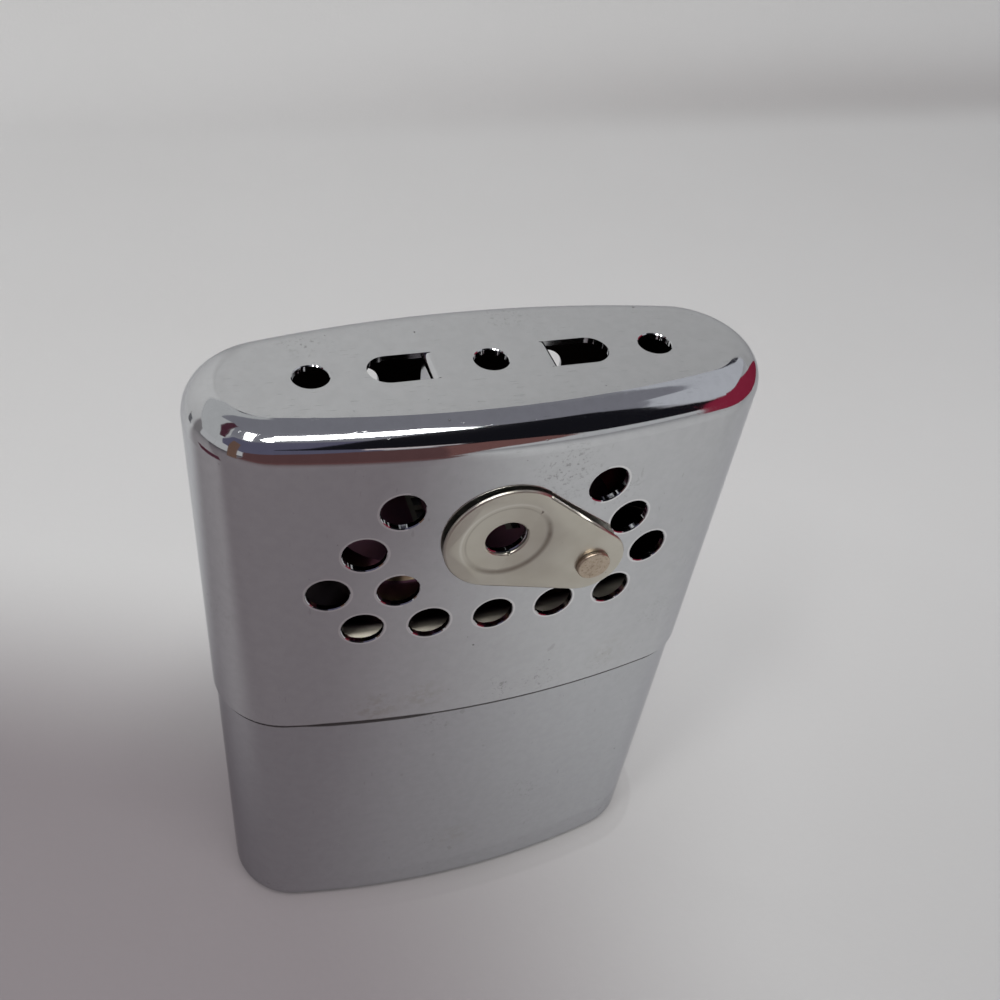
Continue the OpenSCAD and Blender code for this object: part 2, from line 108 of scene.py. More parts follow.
class Finish(NodeBench):
    # a material on the Principled shader, with its node helpers
    def __init__(self, name, **fixed):
        self.material = bpy.data.materials.new(name)
        self.material.use_nodes = True
        super().__init__(self.material.node_tree)
        self.shader = self.tree.nodes["Principled BSDF"]
        self.place = self.add("ShaderNodeTexCoord").outputs["Object"]
        axes = self.add("ShaderNodeSeparateXYZ", {}, {0: self.place}).outputs
        self.x, self.y, self.z = (Wire(self, axis) for axis in axes)
        for socket, value in fixed.items():
            self.shader.inputs[socket.replace("_", " ")].default_value = value

    def moved(self, turn=(0, 0, 0), stretch=(1, 1, 1)):
        # the piece's own coordinates, turned (degrees) and stretched
        turned = tuple(math.radians(angle) for angle in turn)
        node = self.add("ShaderNodeMapping", {"vector_type": "POINT"},
                        {"Vector": self.place, "Rotation": turned, "Scale": stretch})
        return node.outputs[0]

    def noise(self, size, detail=2.0, rough=0.5, vector=None, seed=0.0, warp=0.0):
        # cloudy pattern whose patches are about size metres wide
        node = self.add("ShaderNodeTexNoise", {"noise_dimensions": "4D"},
                        {"Vector": vector or self.place, "W": seed, "Scale": 1 / size,
                         "Detail": detail, "Roughness": rough, "Distortion": warp})
        return Wire(self, node.outputs[0])

    def specks(self, size, share, radius, vector=None):
        # scattered dots: radius is a share of the cell, share the part of cells that have one
        node = self.add("ShaderNodeTexVoronoi", {}, {"Vector": vector or self.place, "Scale": 1 / size})
        pick = self.add("ShaderNodeSeparateColor", {}, {0: node.outputs["Color"]}).outputs
        chosen = Wire(self, pick[0]).maths("LESS_THAN", share)
        reach = Wire(self, pick[1]) * radius + radius * 0.35
        return (Wire(self, node.outputs["Distance"]) / reach).fade(1.0, 0.55) * chosen

    def scratches(self, turn, length, width, cut, seed=0.0):
        # thin broken lines along one direction, from noise stretched along it
        lines = self.noise(1.0, 1.0, 0.5, self.moved(turn, (1 / length, 1 / width, 1 / length)), seed)
        return lines.fade(cut, cut + 0.05)

    def vectorMaths(self, operation, first, second, output=0):
        node = self.add("ShaderNodeVectorMath", {"operation": operation}, {0: first, 1: second})
        return node.outputs[output]

    def away(self, spot):
        return Wire(self, self.vectorMaths("DISTANCE", self.place, spot, "Value"))

    def near(self, spot, radius, soft=0.5):
        # 1 inside a ball round spot, fading out to 0 at its radius
        return self.away(spot).fade(radius, radius * (1 - soft))

    def inwards(self, spine):
        # 1 on the faces of a shell that look in, towards the box that its spine fills
        low, high = spine
        nearest = self.vectorMaths("MAXIMUM", self.place, low)
        nearest = self.vectorMaths("MINIMUM", nearest, high)
        out = self.vectorMaths("SUBTRACT", self.place, nearest)
        facing = self.add("ShaderNodeTexCoord").outputs["Normal"]
        lean = self.vectorMaths("DOT_PRODUCT", out, facing, "Value")
        return Wire(self, lean).fade(-0.0005, -0.003)

    def grid(self, spots):
        # distance in the X-Z plane from the nearest point of a grid: start, then step along x and z
        (startX, startZ), (stepX, stepZ) = spots
        sideways = (self.x - startX).maths("WRAP", stepX / 2, -stepX / 2)
        upwards = (self.z - startZ).maths("WRAP", stepZ / 2, -stepZ / 2)
        return (sideways * sideways + upwards * upwards) ** 0.5

    def mix(self, share, low, high):
        node = self.add("ShaderNodeMix", {"data_type": "RGBA"}, {0: share, 6: low, 7: high})
        return node.outputs[2]

    def bump(self, height, depth, strength=1.0, under=None):
        # depth is in metres, for a height that runs from 0 to 1
        values = {"Height": height, "Distance": depth, "Strength": strength}
        if under is not None:
            values["Normal"] = under
        return self.add("ShaderNodeBump", {}, values).outputs[0]

    def feed(self, **links):
        for socket, value in links.items():
            self.put(self.shader.inputs[socket.replace("_", " ")], value)
        return self.material


def dress(name, material):
    mesh = nodes[name].data
    mesh.materials.clear()
    mesh.materials.append(material)


# the camera stands where the photograph was taken from
shot = {
    "eye": (-0.035097, -0.088127, 0.162638),
    "looks": (0.294502, 0.671435, -0.680032),
    "roll": 0.151,
    "lens": 37.523,
    "sensor": 36,
    "clip": (0.005, 20),
}


def makeCamera():
    data = bpy.data.cameras.new("shotCamera")
    data.lens = shot["lens"]
    data.sensor_width = shot["sensor"]
    data.clip_start, data.clip_end = shot["clip"]
    camera = bpy.data.objects.new("shotCamera", data)
    scene.collection.objects.link(camera)
    aim = Vector(shot["looks"]).to_track_quat("-Z", "Y")
    camera.rotation_mode = "QUATERNION"
    camera.rotation_quaternion = aim @ Quaternion((0, 0, 1), shot["roll"])
    camera.location = shot["eye"]
    scene.camera = camera


makeCamera()
print("camera placed")


# the oval of the case in plan: its ends and sides are arcs round these centres
outline = {
    "endX": 0.0235,
    "endRadius": 0.00965,
    "sideY": 0.1216,
    "sideRadius": 0.1335,
}
# floor, backdrop, light and the cards that the metal reflects
studio = {
    "floorX": 1.6,
    "floorFront": -2.2,
    "foldY": 0.272,
    "foldRadius": 0.05,
    "foldSteps": 12,
    "wallTop": 0.39,
    "ceilingZ": 0.6,
    "skyTones": [(0.25, (0.52, 0.52, 0.53)), (0.75, (0.222, 0.220, 0.250))],
}
floorLook = {
    "pale": ((0.645, 0.640, 0.625), (0.675, 0.672, 0.662)),
    "shade": (0.290, 0.258, 0.268),
    # tone of the painted shade where the sheet turns up into the wall, and how strongly it shows
    "foldShade": (0.42, 0.38, 0.37),
    "foldShare": 0.35,
    "footShadowTone": (0.16, 0.15, 0.15),
    # painted shadow in bands round the foot of the case: where one starts, where it is full, how dark it is
    "footShadowBands": [(0.035, 0.0, 0.15), (0.0034, 0.0026, 0.10), (0.002, 0.0, 0.08)],
    "glow": (1.0, 1.0, 0.985),
}


def footShade(cloth):
    # painted shadow: a soft darker band where the case stands, as wide as its outline is far away
    endX, sideY = outline["endX"], outline["sideY"]
    ends = cloth.away((endX, 0, 0)).least(cloth.away((-endX, 0, 0))) - outline["endRadius"]
    sides = cloth.away((0, sideY, 0)).most(cloth.away((0, -sideY, 0))) - outline["sideRadius"]
    gap = ends.least(sides.most(abs(cloth.x) - endX))
    bands = sum(gap.fade(start, full, 0.0, dark) for start, full, dark in floorLook["footShadowBands"])
    return bands * cloth.x.fade(-0.03, 0.005)


def floorGlow(cloth, shade, foldShade):
    # the far sheet looks as bright as in the photograph, without more light on the object
    ray = cloth.add("ShaderNodeLightPath").outputs
    direct = Wire(cloth, ray["Is Camera Ray"])
    mirrored = Wire(cloth, ray["Is Glossy Ray"])
    seen = (direct + mirrored).least(1.0)
    far = (cloth.y + cloth.z).fade(-0.075, 0.06, 0.0, 0.14) + cloth.z.fade(0.05, 0.30, 0.0, 0.02)
    far = far - cloth.z.fade(0.2, 0.32) * cloth.x.fade(0.02, 0.25, 0.0, 0.045)
    # painted reflection: front and inMetal light the sheet only for mirror rays, so the metal mirrors a brighter
    # sheet there than the camera sees
    front = cloth.y.fade(-0.055, -0.12, 0.0, 0.11) * mirrored * cloth.x.fade(0.02, 0.10)
    inMetal = cloth.x.fade(-0.032, -0.005, 0.0, 0.055) * cloth.y.fade(-0.10, -0.07)
    inMetal = inMetal + cloth.x.fade(-0.036, -0.075, 0.0, 0.12) * cloth.y.fade(-0.03, 0.0)
    lift = ((far + front) * (1.0 - shade) + shade * 0.035 * direct) * seen
    lift = lift * (1.0 - foldShade * floorLook["foldShare"]) + inMetal * mirrored
    return cloth.mix(lift, (0.0, 0.0, 0.0), floorLook["glow"])


def floorFinish():
    cloth = Finish("paleCloth", Roughness=0.92, Specular_IOR_Level=0.15, Emission_Strength=1)
    # the shaded part of the cloth lies to the left of the case
    side = cloth.x + (cloth.y + 0.02) * 0.15
    reach = cloth.y + (cloth.x + 0.045) * 0.4
    shade = side.fade(-0.028, 0.050, 1.0, 0.0) * reach.fade(0.072, 0.012, 0.0, 1.0)
    # painted shade: a darker band where the sheet turns up into the wall
    foldShade = abs(cloth.y - 0.285).fade(0.035, 0.0) * cloth.x.fade(-0.1, 0.3)
    tone = cloth.mix(cloth.noise(0.06, 2.0, 0.5), *floorLook["pale"])
    tone = cloth.mix(shade, tone, floorLook["shade"])
    tone = cloth.mix(foldShade * floorLook["foldShare"], tone, floorLook["foldShade"])
    # painted shadow round the foot of the case
    tone = cloth.mix(footShade(cloth), tone, floorLook["footShadowTone"])
    swell = cloth.bump(cloth.noise(0.05, 1.0, 0.4), 0.002, 0.6)
    weave = cloth.bump(cloth.noise(0.0012, 1.0, 0.5), 0.0001, 0.4, swell)
    return cloth.feed(Base_Color=tone, Emission_Color=floorGlow(cloth, shade, foldShade), Normal=weave)


def makeFloor():
    # a sheet that lies flat, turns up behind the object and stands as a low wall
    bpy.ops.object.select_all(action="DESELECT")
    bpy.ops.mesh.primitive_plane_add(size=1)
    sheet = bpy.context.object
    sheet.name = "floorSheet"
    half = studio["floorX"]
    for corner in sheet.data.vertices:
        corner.co.x = math.copysign(half, corner.co.x)
        corner.co.y = studio["foldY"] if corner.co.y > 0 else studio["floorFront"]
    bpy.ops.object.mode_set(mode="EDIT")
    bpy.ops.mesh.select_all(action="DESELECT")
    bpy.ops.object.mode_set(mode="OBJECT")
    for edge in sheet.data.edges:
        edge.select = all(sheet.data.vertices[i].co.y > 0 for i in edge.vertices)
    bpy.ops.object.mode_set(mode="EDIT")
    bpy.ops.mesh.select_mode(type="EDGE")
    steps = studio["foldSteps"]
    hop = 2 * studio["foldRadius"] * math.sin(math.pi / 4 / steps)
    for step in range(steps):
        angle = (step + 0.5) * math.pi / 2 / steps
        bpy.ops.mesh.extrude_region_move(TRANSFORM_OT_translate={
            "value": (0, hop * math.cos(angle), hop * math.sin(angle))})
    bpy.ops.mesh.extrude_region_move(TRANSFORM_OT_translate={
        "value": (0, 0, studio["wallTop"] - studio["foldRadius"])})
    bpy.ops.object.mode_set(mode="OBJECT")
    bpy.ops.object.shade_smooth()
    sheet.data.materials.append(floorFinish())


lampTone = (1.0, 0.995, 0.985)
lamps = {
    "ceilingLamp": {"place": (-0.052, -0.209, 0.58), "size": (0.355, 0.092), "turn": 32, "power": 1.42},
    "sideLamp": {"place": (-0.305, -0.172, 0.58), "size": (0.26, 0.075), "turn": 48, "power": 0.68},
}


def makeLamp(name):
    facts = lamps[name]
    data = bpy.data.lights.new(name, "AREA")
    data.shape = "RECTANGLE"
    data.size, data.size_y = facts["size"]
    data.energy = facts["power"]
    data.color = lampTone
    lamp = bpy.data.objects.new(name, data)
    lamp.location = facts["place"]
    lamp.rotation_euler = (0, 0, math.radians(facts["turn"]))
    lamp.visible_camera = False
    scene.collection.objects.link(lamp)


def makeWorld():
    world = bpy.data.worlds.new("studioWorld")
    scene.world = world
    world.use_nodes = True
    sky = NodeBench(world.node_tree)
    where = sky.add("ShaderNodeTexCoord").outputs["Generated"]
    height = sky.add("ShaderNodeSeparateXYZ", {}, {0: where}).outputs[2]
    tones = sky.add("ShaderNodeValToRGB", {"stops": studio["skyTones"]}, {0: height}).outputs[0]
    sky.put(world.node_tree.nodes["Background"].inputs[0], tones)


# flat cards that only the metal sees. Corners are places in metres; slopes are points of the ceiling, seen from the
# top of the object, and their rise is the share of the ceiling's height that the card hangs at
cards = {
    "darkCard": {
        "slopes": [(0.24, -0.30), (0.52, -0.28), (0.80, -0.58), (1.08, -0.98), (1.96, -1.6), (3.4, -2.4),
                   (7.0, -5.2), (6.6, -6.9), (3.9, -5.2), (2.5, -4.4), (1.36, -3.2), (0.6, -3.0), (0.2, -2.0),
                   (-0.2, -1.8), (-0.5, -1.8), (-0.3, -1.5), (0.0, -0.72)],
        "rise": 1.02,
        "colour": (0.008, 0.008, 0.011),
    },
    "duskCard": {
        "slopes": [(0.02, -0.74), (-0.3, -0.76), (-0.9, -0.66), (-1.1, -0.4), (-2.2, -0.5), (-4.0, -1.2),
                   (-4.5, -4.0), (-0.1, -4.6), (0.0, -2.5)],
        "rise": 1.03,
        "colour": (0.115, 0.11, 0.165),
    },
    "wedgeCard": {
        "slopes": [(-0.50, 0.30), (-1.0, 0.22), (-1.4, 0.0), (-1.95, -0.2), (-1.75, -0.42), (-1.14, -0.18),
                   (-0.78, 0.03), (-0.52, 0.12)],
        "rise": 1.0,
        "colour": (0.075, 0.026, 0.04),
    },
    "leftPaleCard": {
        "slopes": [(-0.5, 0.28), (-0.62, 0.5), (0.02, 0.8), (0.1, 1.15), (-0.5, 2.2), (-5.0, 3.0), (-5.0, -1.0),
                   (-2.4, -0.55), (-1.2, -0.3), (-0.7, 0.0)],
        "rise": 1.01,
        "colour": (0.49, 0.495, 0.50),
    },
    "paleCard": {
        "slopes": [(0.64, -0.10), (0.78, -0.56), (1.2, -1.0), (1.7, -1.35), (1.9, 1.4), (0.6, 1.4), (0.72, 0.05)],
        "rise": 1.01,
        "colour": (0.53, 0.54, 0.58),
    },
    "warmCard": {
        "corners": [(-0.52, -0.45, 0.0), (0.06, -0.45, 0.0), (0.06, -0.45, 0.28), (-0.02, -0.45, 0.27),
                    (-0.12, -0.45, 0.225), (-0.52, -0.45, 0.215)],
        "colour": (0.108, 0.054, 0.055),
    },
    "warmSheet": {
        "corners": [(-0.30, -0.10, 0.003), (-0.52, -0.45, 0.003), (0.085, -0.45, 0.003), (0.03, -0.26, 0.003),
                    (-0.07, -0.16, 0.003), (-0.095, -0.12, 0.003)],
        "colour": (0.13, 0.062, 0.062),
        "fadeOut": (-0.14, -0.38),
    },
    "tanCard": {
        "corners": [(0.06, -0.45, 0.0), (0.085, -0.45, 0.05), (0.12, -0.45, 0.11), (0.18, -0.45, 0.14),
                    (0.235, -0.45, 0.19), (0.19, -0.45, 0.26), (0.12, -0.45, 0.30), (0.06, -0.45, 0.28)],
        "colour": (0.185, 0.088, 0.082),
    },
    "lineCard": {
        "corners": [(-0.03, -0.44, 0.298), (0.085, -0.44, 0.297), (0.085, -0.44, 0.315), (-0.03, -0.44, 0.330)],
        "colour": (0.75, 0.66, 0.68),
    },
    "plumCard": {
        "corners": [(0.42, -0.41, 0.15), (0.42, -0.40, 0.0), (0.42, 0.24, 0.0), (0.42, 0.147, 0.182),
                    (0.42, 0.023, 0.313), (0.42, -0.318, 0.34), (0.42, -0.38, 0.25)],
        "colour": (0.26, 0.022, 0.05),
    },
    "plumSheet": {
        "corners": [(0.42, -0.40, 0.003), (0.55, -0.50, 0.003), (0.75, -0.35, 0.003), (0.60, 0.05, 0.003),
                    (0.42, 0.10, 0.003)],
        "colour": (0.26, 0.022, 0.05),
    },
    "rustCard": {
        "corners": [(-0.365, -0.165, 0.0), (-0.33, -0.225, 0.0), (-0.33, -0.225, 0.30), (-0.365, -0.165, 0.34)],
        "colour": (0.16, 0.095, 0.072),
    },
    "wineCard": {
        "corners": [(-0.155, 0.035, 0.008), (-0.150, -0.03, 0.006), (-0.150, -0.03, 0.022), (-0.155, 0.035, 0.028)],
        "colour": (0.09, 0.03, 0.045),
    },
    "shadeCard": {
        "corners": [(-0.44, 0.245, 0.0), (-0.40, 0.275, 0.0), (-0.40, 0.275, 0.12), (-0.44, 0.245, 0.10)],
        "colour": (0.15, 0.15, 0.16),
    },
    "railCard": {
        "corners": [(-0.03, 0.321, 0.385), (0.40, 0.321, 0.385), (0.40, 0.321, 0.43), (-0.03, 0.321, 0.43)],
        "colour": (0.035, 0.035, 0.045),
    },
}
objectTop = 0.095


def overhead(slopes, rise):
    height = studio["ceilingZ"] * rise
    return [(x * (height - objectTop), y * (height - objectTop), height) for x, y in slopes]


def makeCard(name):
    facts = cards[name]
    corners = facts["corners"] if "corners" in facts else overhead(facts["slopes"], facts["rise"])
    mesh = bpy.data.meshes.new(name)
    mesh.from_pydata([Vector(corner) for corner in corners], [], [range(len(corners))])
    card = bpy.data.objects.new(name, mesh)
    scene.collection.objects.link(card)
    glow = Finish(name, Base_Color=(0, 0, 0, 1), Specular_IOR_Level=0, Emission_Color=(*facts["colour"], 1),
                  Emission_Strength=1)
    if "fadeOut" in facts:
        glow.feed(Alpha=glow.y.fade(*facts["fadeOut"]))  # fades out towards the object
    mesh.materials.append(glow.material)
    for ray in ("camera", "diffuse", "shadow", "transmission"):
        setattr(card, "visible_" + ray, False)


makeFloor()
for lampName in lamps:
    makeLamp(lampName)
makeWorld()
for cardName in cards:
    makeCard(cardName)
print("studio set up")


# the vents of the front and the back, in X and Z
vents = {
    "start": (-0.00045, 0.06660),
    "step": (0.00794, 0.00623),
    "radius": 0.00270,
    # width and strength of the painted highlight round each vent
    "rimWide": 0.00017,
    "rimShare": 0.55,
    "field": (0.0635, 0.0885, 0.0113, 0.0226),  # lowest, highest, bare middle, reach to each side
    "faceFrom": 0.008,  # the faces with vents lie further than this from the middle
}
# the cap's and the tank's bright plating
plate = {
    "capTint": (0.614, 0.626, 0.637),
    "tankTint": (0.560, 0.572, 0.588),
    "wineReflection": (0.55, 0.10, 0.15),
    "innerShade": (0.018, 0.013, 0.013),
    "capSpine": ((-0.0210, -0.0012, 0.060), (0.0210, 0.0012, 0.0830)),
    "tankSpine": ((-0.0210, -0.0012, 0.010), (0.0210, 0.0012, 0.0474)),
    "edgeTint": (0.68, 0.68, 0.70, 1),
    "wineReflectionSpot": (0.021, 0.0094, 0.066),
    "rimHighlightTone": (0.95, 0.94, 0.93),
    # painted shade in the gap between cap and tank: height, tone, where it is thickest, half width thin and thick
    "seamZ": 0.04745,
    "seamShadeTone": (0.05, 0.045, 0.04),
    "seamThickX": -0.015,
    "seamHalf": (0.00040, 0.00060),
    # marks on the plating: tone, and how much of it shows
    "dust": ((0.30, 0.30, 0.29), 0.16),
    "dots": ((0.20, 0.19, 0.18), 0.45),
    "pits": ((0.12, 0.115, 0.11), 0.75),
    "hair": ((0.28, 0.27, 0.26), 0.22),
    "smear": ((0.20, 0.195, 0.185), 0.55),
    "tan": ((0.33, 0.27, 0.17), 0.30),
    # rubbed-in dirt on the cap: spot, radius, amount
    "capGrime": [
        ((0.006, -0.0125, 0.0885), 0.0060, 1.0),
        ((0.013, -0.0115, 0.0845), 0.0045, 0.8),
        ((0.004, 0.008, 0.0955), 0.0040, 0.6),
        ((-0.020, 0.006, 0.0955), 0.0035, 0.8),
        ((-0.0335, -0.003, 0.066), 0.0060, 0.6),
        ((0.024, -0.009, 0.058), 0.0050, 0.5),
        ((0.002, -0.0122, 0.0510), 0.0035, 0.9),
        ((0.008, -0.0120, 0.0510), 0.0040, 0.8),
        ((0.017, -0.0112, 0.0512), 0.0035, 0.6),
    ],
    "tankGrime": [
        ((-0.006, -0.012, 0.046), 0.0050, 0.6),
        ((0.029, -0.008, 0.004), 0.0060, 0.9),
        ((-0.029, -0.008, 0.002), 0.0050, 0.7),
        ((0.010, -0.012, 0.022), 0.0060, 0.4),
        ((0.0255, -0.0095, 0.0089), 0.0006, 2.5),
    ],
    "smudges": [
        ((-0.0145, -0.0115, 0.0505), 0.0050, 0.9),
        ((-0.0085, -0.0119, 0.0520), 0.0045, 0.7),
        ((0.0180, -0.0110, 0.0530), 0.0050, 0.4),
        ((-0.0010, -0.0119, 0.0130), 0.0050, 0.4),
    ],
}


def ventRimHighlight(sheet):
    # painted highlight: a thin pale ring round each vent, where its turned edge catches the light
    wide, high = vents["step"]
    x, z = vents["start"]
    off = sheet.grid(((x, z), (wide, 2 * high)))
    off = off.least(sheet.grid(((x + wide / 2, z + high), (wide, 2 * high))))
    low, top, bare, reach = vents["field"]
    across = abs(sheet.x - x)
    inside = sheet.z.maths("GREATER_THAN", low) * sheet.z.maths("LESS_THAN", top)
    inside = inside * across.maths("LESS_THAN", reach)
    # no vents in the middle of the upper rows, nor beyond the ends of each row
    middle = across.maths("LESS_THAN", bare) * sheet.z.maths("GREATER_THAN", low + high)
    corner = across.maths("GREATER_THAN", 2 * wide) * sheet.z.maths("GREATER_THAN", top - high)
    second = abs(sheet.z - (z + high)).maths("LESS_THAN", 0.48 * high)
    corner = corner.most(across.maths("GREATER_THAN", 2.35 * wide) * (1.0 - second))
    flat = abs(sheet.y).maths("GREATER_THAN", vents["faceFrom"])
    ring = (abs(off - vents["radius"]) / vents["rimWide"]).fade(1.0, 0.4)
    return ring * inside * flat * (1.0 - middle) * (1.0 - corner)


def patches(sheet, spots, soft):
    # the strongest of several round patches: spot, radius, amount
    most = 0.0
    for spot, radius, amount in spots:
        most = (sheet.near(spot, radius, soft) * amount).most(most)
    return most


def platedFinish(name, chrome, spine, grime, rims=False):
    # polished plate with fine specks, pits, faint hairlines and rubbed-in dirt, dull inside, with painted shade on
    # the inward faces and in the seam, a painted red reflection inside and a painted highlight round the vents
    sheet = Finish(name, Metallic=1.0, Specular_Tint=plate["edgeTint"])
    inner = sheet.inwards(spine)
    cloud = sheet.noise(0.018, 3.0, 0.55, seed=1.3)
    mottle = sheet.noise(0.0013, 3.0, 0.6, seed=4.0)
    hair = sheet.scratches((8, 20, 64), 0.0022, 0.00007, 0.725, 2.0)
    grit = sheet.noise(0.00045, 3.0, 0.7, seed=7.0).fade(0.53, 0.66)
    stain = sheet.noise(0.0011, 4.0, 0.7, seed=3.0).fade(0.42, 0.62)
    marks = {
        "dust": sheet.specks(0.0006, 0.28, 0.12, sheet.moved((40, 11, 25))),
        "dots": sheet.specks(0.0014, 0.36, 0.065, sheet.moved((12, 31, 5))),
        "pits": sheet.specks(0.0040, 0.45, 0.042),
        "hair": hair.most(sheet.scratches((75, 10, -28), 0.0028, 0.00007, 0.735, 5.0)),
        "smear": patches(sheet, grime, 0.9) * grit,
        "tan": patches(sheet, plate["smudges"], 0.95) * stain,
    }
    tone = sheet.mix(mottle.fade(0.3, 0.7), tuple(0.97 * c for c in chrome), tuple(1.02 * c for c in chrome))
    for mark, cover in marks.items():
        colour, amount = plate[mark]
        tone = sheet.mix(cover * amount, tone, colour)
    if rims:
        # painted highlight round the vents
        tone = sheet.mix(ventRimHighlight(sheet) * vents["rimShare"], tone, plate["rimHighlightTone"])
    # painted shade along the gap between cap and tank, wider towards seamThickX
    seamShadeWidth = abs(sheet.x - plate["seamThickX"]).fade(0.009, 0.005, *plate["seamHalf"])
    seam = (abs(sheet.z - plate["seamZ"]) / seamShadeWidth).fade(1.15, 0.85)
    tone = sheet.mix(seam * 0.85, tone, plate["seamShadeTone"])
    # painted shade on the inward faces, with a painted wine-red reflection on the inside of the back wall
    tint = sheet.mix(sheet.near(plate["wineReflectionSpot"], 0.005, 0.4), plate["innerShade"], plate["wineReflection"])
    tone = sheet.mix(inner, tone, tint)
    pits, dots, hair = marks["pits"], marks["dots"], marks["hair"]
    rough = cloud * 0.04 + 0.045 + pits * 0.25 + dots * 0.12 + marks["smear"] * 0.15 + seam * 0.25 + inner * 0.35
    ripple = sheet.bump(sheet.noise(0.006, 2.0, 0.5), 0.00003, 0.35)
    grain = sheet.bump(mottle, 0.000003, 0.6, ripple)
    worn = sheet.bump(1.0 - pits.most(dots * 0.5).most(hair * 0.12), 0.00002, 0.6, grain)
    return sheet.feed(Base_Color=tone, Roughness=rough, Normal=worn)


dress("cap_shell", platedFinish("capPlate", plate["capTint"], plate["capSpine"], plate["capGrime"], rims=True))
dress("tank_shell", platedFinish("tankPlate", plate["tankTint"], plate["tankSpine"], plate["tankGrime"]))
print("plate finished")


def pickOnly(piece):
    bpy.ops.object.select_all(action="DESELECT")
    piece.select_set(True)
    bpy.context.view_layer.objects.active = piece


def castOf(nodeName, title):
    # new object with the solid's own surface, its loose corners joined
    cast = bpy.data.objects.new(title, nodes[nodeName].data.copy())
    scene.collection.objects.link(cast)
    pickOnly(cast)
    bpy.ops.mesh.customdata_custom_splitnormals_clear()
    bpy.ops.object.mode_set(mode="EDIT")
    bpy.ops.mesh.select_all(action="SELECT")
    bpy.ops.mesh.remove_doubles(threshold=1e-6)
    bpy.ops.mesh.normals_make_consistent(inside=False)
    bpy.ops.object.mode_set(mode="OBJECT")
    return cast


def applyModifier(piece, kind, **settings):
    modifier = piece.modifiers.new(kind.lower(), kind)
    for name, value in settings.items():
        setattr(modifier, name, value)
    pickOnly(piece)
    bpy.ops.object.modifier_apply(modifier=modifier.name)


# vent shutter and its rivet
shutter = {
    "dish": (-0.00045, -0.0127, 0.07986),
    "wallAt": 0.00512,
    "wallWide": 0.00055,
    "bevel": 0.00029,
    "behind": 0.25,
    "frontY": -0.01265,
    "steps": 5,
    "nickel": ((0.55, 0.52, 0.445), (0.60, 0.575, 0.50)),
    "pitTone": (0.28, 0.25, 0.2),
    "wallShade": (0.20, 0.165, 0.135),
    # painted highlight and painted shade: two thin arcs at the upper left of the dish, a pale one and a dark one:
    # radius, half width, tone, strength
    "arcs": [(0.0055, 0.00028, (0.78, 0.76, 0.70), 0.5), (0.0049, 0.00022, (0.30, 0.27, 0.23), 0.45)],
    "brass": ((0.56, 0.475, 0.375), (0.50, 0.415, 0.32)),
    "rivetStain": (0.30, 0.22, 0.16),
}


def shutterFinish():
    metal = Finish("shutterNickel", Metallic=1.0)
    mottle = metal.noise(0.0009, 3.0, 0.6, seed=2.0)
    cloud = metal.noise(0.006, 3.0, 0.5, seed=9.0)
    pits = metal.specks(0.0016, 0.3, 0.06)
    marks = metal.scratches((0, 35, 0), 0.005, 0.00007, 0.69, 3.0)
    tone = metal.mix(cloud.fade(0.35, 0.65), *shutter["nickel"])
    tone = metal.mix(pits * 0.5, tone, shutter["pitTone"])
    # painted shade on the lower right of the dish's wall; the arcs after it are a painted highlight and painted
    # shade on its upper left
    across = metal.away(shutter["dish"])
    wall = abs(across - shutter["wallAt"]).fade(shutter["wallWide"], 0.0)
    low = (metal.x - shutter["dish"][0]) * 0.75 - (metal.z - shutter["dish"][2])
    tone = metal.mix(wall * low.fade(-0.0025, 0.0045) * 0.75, tone, shutter["wallShade"])
    high = low.fade(0.0015, -0.004)
    for radius, wide, colour, strength in shutter["arcs"]:
        tone = metal.mix(abs(across - radius).fade(wide, 0.0) * high * strength, tone, colour)
    rough = mottle * 0.10 + 0.27 + marks * 0.1
    worn = metal.bump(1.0 - pits.most(marks * 0.5), 0.00002, 0.6, metal.bump(mottle, 0.000006, 0.5))
    return metal.feed(Base_Color=tone, Roughness=rough, Normal=worn)


def rivetFinish():
    metal = Finish("rivetBrass", Metallic=1.0)
    cloud = metal.noise(0.0014, 4.0, 0.6, seed=3.0)
    stain = metal.noise(0.0005, 4.0, 0.7, seed=6.0).fade(0.48, 0.64) * 0.7
    tone = metal.mix(cloud.fade(0.35, 0.65), *shutter["brass"])
    tone = metal.mix(stain, tone, shutter["rivetStain"])
    dull = metal.noise(0.0004, 2.0, 0.5)
    return metal.feed(Base_Color=tone, Roughness=dull * 0.18 + stain * 0.14 + 0.24,
                      Normal=metal.bump(cloud, 0.00004, 0.5, metal.bump(dull, 0.00001, 0.5)))


def makeShutterPlate():
    # the plate's own surface with its sharp edges rounded, as a stamped plate's are
    piece = castOf("vent_shutter", "shutterPlate")
    applyModifier(piece, "DECIMATE", decimate_type="DISSOLVE", angle_limit=math.radians(1))
    shape = bmesh.new()
    shape.from_mesh(piece.data)
    weight = shape.edges.layers.float.new("bevel_weight_edge")
    for edge in shape.edges:
        if edge.calc_face_angle(0) > math.radians(50):
            inFront = all(vertex.co.y < shutter["frontY"] for vertex in edge.verts)
            edge[weight] = 1.0 if inFront else shutter["behind"]
    shape.to_mesh(piece.data)
    shape.free()
    applyModifier(piece, "BEVEL", width=shutter["bevel"], segments=shutter["steps"], limit_method="WEIGHT",
                  use_clamp_overlap=False)
    bpy.ops.object.shade_smooth_by_angle(angle=math.radians(40))
    piece.data.materials.clear()
    piece.data.materials.append(shutterFinish())
    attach(piece, "shutter")
    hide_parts("vent_shutter")


makeShutterPlate()
dress("shutter_rivet", rivetFinish())
print("shutter finished")


